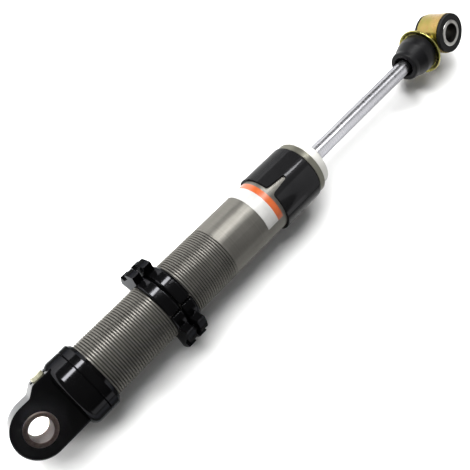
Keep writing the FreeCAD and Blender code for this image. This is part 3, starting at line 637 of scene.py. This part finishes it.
softPieces = {
    "end_cap": {"name": "endCap", "width": 0.35, "body": "body",
                "slot": "black_anodised", "finish": blackFinish, "reshape": widenCapRim},
    "lock_ring": {"name": "lockRing", "width": 0.3, "body": "lock_ring",
                  "slot": "black_anodised", "finish": blackFinish},
    "preload_ring": {"name": "preloadRing", "width": 0.3, "body": "preload_ring",
                     "slot": "black_anodised", "finish": blackFinish},
    "spring_sleeve": {"name": "springSleeve", "width": 0.4, "body": "body",
                      "slot": "black_plastic", "finish": plasticFinish},
    "rod_eye": {"name": "rodEye", "width": 0.4, "body": "rod",
                "slot": "yellow_zinc", "finish": eyeZincFinish},
    "fill_screw": {"name": "fillScrew", "width": 0.2, "body": "body",
                   "slot": "brass", "finish": screwFinish},
    "eye_bush": {"name": "eyeBush", "width": 0.35, "body": "body",
                 "slot": "bronze", "finish": bushFinish},
    "eye_sleeve": {"name": "eyeSleeve", "width": 0.4, "body": "eye_sleeve",
                   "slot": "plain_steel", "finish": sleeveFinish},
    "seal_head": {"name": "sealHead", "width": 0.25, "body": "body",
                  "slot": "natural_aluminium", "finish": headFinish},
}
for node, s in softPieces.items():
    piece = softCopy(node, s["name"], s["width"], reshape=s.get("reshape"))
    dress(piece, s["finish"], s["body"], node)
print("edges broken on", len(softPieces), "pieces")


# Bump stop: moulded rubber with a rolled lip round its mouth

bumpStop = {
    "bore": 6.37,
    "mouth": 8.6,
    "mouthDepth": 8.0,
    "lip": 12.9,
    "lipRound": 1.9,
    "waist": 13.2,
    "waistAt": 4.8,
    "coneAt": 13.4,
    "coneStep": 0.6,
    "wideAt": 19.4,
    "mouthRound": 1.2,
    "waistRound": 3.0,
    "coneRound": 6.0,
    "wideRound": 3.0,
    "endRound": 1.2,
    "boreRound": 0.5,
    "floorRound": 1.0,  # where the mouth's floor meets its wall
}


def makeBumpStop():
    s = bumpStop
    low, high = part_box("bump_stop")
    start, end, wide = low.x / mm, high.x / mm, high.z / mm
    mouthFloor = start + s["mouthDepth"]
    piece = turnOnLathe("bumpStop", [
        (start, s["mouth"], s["mouthRound"]),
        (start, s["lip"], s["lipRound"]),
        (start + s["waistAt"], s["waist"], s["waistRound"]),
        (start + s["coneAt"], wide - s["coneStep"], s["coneRound"]),
        (start + s["wideAt"], wide, s["wideRound"]),
        (end, wide, s["endRound"]),
        (end, s["bore"]),
        (mouthFloor, s["bore"], s["boreRound"]),
        (mouthFloor, s["mouth"], s["floorRound"])])
    dress(piece, bumpFinish, "rod", "bump_stop")


makeBumpStop()


# Dished cup behind the bump stop, pressed from sheet

bumpCup = {"bore": 6.37, "sheet": 1.6, "flat": 17.4, "bendRound": 0.8, "rimStep": 0.25, "edgeRound": 0.7}


def makeBumpCup():
    s = bumpCup
    low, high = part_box("bump_cup")
    start, end, rim = low.x / mm, high.x / mm, high.z / mm
    floor = end - s["sheet"]
    piece = turnOnLathe("bumpCup", [
        (floor, s["bore"]),
        (floor, s["flat"], s["bendRound"]),
        (start, rim - s["rimStep"], s["edgeRound"]),
        (start + s["sheet"], rim, s["edgeRound"]),
        (end, s["flat"], s["bendRound"]),
        (end, s["bore"])])
    dress(piece, cupZincFinish, "rod", "bump_cup")


makeBumpCup()
print("bump stop and cup made")


# Blank two-tone sticker round the body

sticker = {
    "start": 202.1,
    "stripStart": 212.9,  # the coloured strip runs from here to the end
    "end": 218.1,
    "gap": 0.01,
    "thickness": 0.12,
    "from": -132.0,  # degrees round the tube
    "turn": 164.5,
    "steps": 64,
}


def stickerFinish():
    s = sticker
    finish, coords, feed = newFinish("stickerPrint", Specular_IOR_Level=0.4)
    along = coords.axes()[0]
    strip = along > s["stripStart"] * mm
    cloud = coords.noise(150, 3)
    paper = cloud.tones((0.22, 0.218, 0.212), (0.25, 0.248, 0.241))
    band = cloud.tones((0.21, 0.038, 0.006), (0.24, 0.047, 0.008))
    feed(Base_Color=strip.blend(paper, band), Roughness=cloud.levels(0.28, 0.36))
    return finish


def makeSticker():
    s = sticker
    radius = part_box("body_tube")[1].z / mm - threadedTube["collarStep"] + s["gap"]
    piece = traceLine("bodySticker", [(s["start"], radius), (s["stripStart"], radius), (s["end"], radius)])
    bpy.ops.mesh.select_all(action="SELECT")
    start = math.radians(s["from"] + 90)
    bpy.ops.transform.rotate(value=-start, orient_axis="X", center_override=(0, 0, 0))
    bpy.ops.mesh.select_all(action="SELECT")
    bpy.ops.mesh.spin(steps=s["steps"], angle=math.radians(s["turn"]), center=(0, 0, 0), axis=(-1, 0, 0))
    mergeAndTurnOut()
    objectMode()
    applyModifier(piece, "SOLIDIFY", thickness=s["thickness"] * mm, offset=1)
    smoothShade(piece)
    dress(piece, stickerFinish(), "body", None)


makeSticker()
print("sticker made")


# Floor, light and camera: the floor and the lamps are in metres

studio = {"middle": 0.2, "floor": 12, "sky": 0.075}


def makeFloor():
    s = studio
    deselectAll()
    bpy.ops.mesh.primitive_plane_add(size=s["floor"], location=(s["middle"], 0, cadBox[0].z))
    floor = bpy.context.object
    floor.name = "studioFloor"
    finish, coords, feed = newFinish("studioFloor", Specular_IOR_Level=0.1)
    cloud = coords.noise(3, 2)
    feed(Base_Color=cloud.tones((0.86, 0.86, 0.855), (0.88, 0.88, 0.875)),
         Roughness=cloud.levels(0.7, 0.8))
    floor.data.materials.append(finish)


# White cove behind the floor: only the camera sees it, so it leaves the light on the shock as it is

cove = {
    "start": 0.8,  # from the floor's middle, clear of the photograph's frame
    "solidFrom": 1.15,
    "lift": 0.0005,
    "vertices": 96,
    "rings": [(2.6, 0), (3.1, 0.2), (3.4, 0.7), (3.4, 4.0)],  # radius and height, as the wall curves up
}


def makeCove():
    s = cove
    deselectAll()
    place = (studio["middle"], 0, cadBox[0].z + s["lift"])
    bpy.ops.mesh.primitive_circle_add(vertices=s["vertices"], radius=s["start"], fill_type="NOTHING",
                                      location=place)
    piece = bpy.context.object
    piece.name = "studioCove"
    editMode()
    bpy.ops.mesh.select_mode(type="EDGE")
    bpy.ops.mesh.select_all(action="SELECT")
    radius, height = s["start"], 0
    for nextRadius, nextHeight in s["rings"]:
        scale = nextRadius / radius
        bpy.ops.mesh.extrude_region_move(TRANSFORM_OT_translate={"value": (0, 0, nextHeight - height)})
        bpy.ops.transform.resize(value=(scale, scale, 1), center_override=place)
        radius, height = nextRadius, nextHeight
    objectMode()
    smoothShade(piece, 60)
    finish, coords, feed = newFinish("studioCove", Base_Color=colour(0, 0, 0), Specular_IOR_Level=0.0,
                                     Emission_Color=colour(1, 1, 1), Emission_Strength=1.0)
    along, across = coords.axes()[:2]
    feed(Alpha=(along * along + across * across).spread(s["start"] ** 2, s["solidFrom"] ** 2))
    finish.cycles.emission_sampling = "NONE"  # it isn't a lamp
    piece.data.materials.append(finish)
    piece.visible_diffuse = False
    piece.visible_glossy = False
    piece.visible_transmission = False
    piece.visible_shadow = False


lamps = {
    "floorLamp": {"place": (-0.05, 0.84, 0.96), "target": (0.20, 0, 0), "size": (0.8, 0.76), "power": 36,
                  "mirrored": False, "slope": (0.95, -0.30, 0.15)},  # gives the soft shadow
    "sideLamp": {"place": (-0.90, 0.60, 0.60), "target": (0.10, 0, 0), "size": (0.5, 0.4), "power": 12,
                 "mirrored": False},
    "fillLamp": {"place": (-0.30, 0.25, 1.1), "target": (0, 0, 0), "size": (0.3, 0.3), "power": 0.4,
                 "mirrored": False},
    "backLamp": {"place": (0.2, -1.6, 0.30), "target": (0.2, 0, 0), "size": (1.8, 0.5), "power": 4},
    "boreLamp": {"place": (0.01, 0.25, 1.1), "target": (0, 0, 0), "size": (0.012, 0.012), "power": 0.03,
                 "mirrored": False, "beam": 1.6},  # for the floor seen through the eye
    "windowLamp": {"place": (0.16, 0.95, 0.62), "target": (0.16, 0, 0), "size": (0.55, 0.2), "power": 14},
    "stripLamp": {"place": (0.68, 0.68, 0.90), "target": (0.68, 0, 0), "size": (0.56, 0.11), "power": 9,
                  "slope": (0.95, -0.45, 0.44)},
    "rodPanel": {"place": (1.07, 0.46, 0.79), "target": (0.33, 0, 0), "size": (1.3, 0.42), "power": 3.7,
                 "shining": False},  # the white line along the rod
    "rodScreen": {"place": (1.05, -0.74, 0.75), "target": (0.34, 0, 0), "size": (0.5, 2.2), "power": 7.2,
                  "shining": False},  # the rod's pale side
}


def makeLamp(name, place, target, size, power, mirrored=True, shining=True, slope=(1, 0, 0), beam=180):
    # slope is the way that the lamp's long side runs, and beam how wide its light spreads, in degrees;
    # a lamp that isn't mirrored stays out of reflections, and one that isn't shining is seen only there
    facing = (Vector(place) - Vector(target)).normalized()
    short = facing.cross(Vector(slope)).normalized()
    lamp = bpy.data.lights.new(name, "AREA")
    lamp.shape = "RECTANGLE"
    lamp.size, lamp.size_y = size
    lamp.energy = power
    lamp.spread = math.radians(beam)
    holder = bpy.data.objects.new(name, lamp)
    bpy.context.collection.objects.link(holder)
    turned = Matrix((short.cross(facing), short, facing)).transposed()
    holder.matrix_world = Matrix.Translation(place) @ turned.to_4x4()
    holder.visible_glossy = mirrored
    holder.visible_diffuse = shining


def makeSky(strength):
    world = bpy.data.worlds.new("studioSky")
    bpy.context.scene.world = world
    world.use_nodes = True
    sky = world.node_tree.nodes["Background"]
    sky.inputs["Color"].default_value = colour(1, 1, 1)
    sky.inputs["Strength"].default_value = strength


cameraView = {
    "place": (12.24, 90.2, 447.92),  # in millimetres
    "lens": 50.83,
    "tilt": 11.5,  # the camera stands to the +Y side of straight above
    "pitch": 20.91,  # and looks on towards the rod eye
    "roll": 44.59,  # the shock runs from lower left to upper right
}


def makeCamera():
    s = cameraView
    tilt, pitch, roll = (math.radians(s[name]) for name in ("tilt", "pitch", "roll"))
    along = Vector((1, 0, 0))
    over = Vector((0, math.sin(tilt), math.cos(tilt)))
    across = Vector((0, -math.cos(tilt), math.sin(tilt)))
    back = over * math.cos(pitch) - along * math.sin(pitch)
    level = along * math.cos(pitch) + over * math.sin(pitch)
    right = level * math.cos(roll) + across * math.sin(roll)
    up = level * math.sin(roll) - across * math.cos(roll)
    data = bpy.data.cameras.new("photoCamera")
    data.sensor_width = 36
    data.lens = s["lens"]
    data.clip_start = 0.01
    holder = bpy.data.objects.new("photoCamera", data)
    bpy.context.collection.objects.link(holder)
    turned = Matrix((right, up, back)).transposed().to_4x4()
    holder.matrix_world = Matrix.Translation(Vector(s["place"]) * mm) @ turned
    bpy.context.scene.camera = holder


makeFloor()
makeCove()
makeSky(studio["sky"])
for name, settings in lamps.items():
    makeLamp(name, **settings)
makeCamera()
bpy.context.scene.view_settings.view_transform = "Standard"
print("floor, light and camera made")
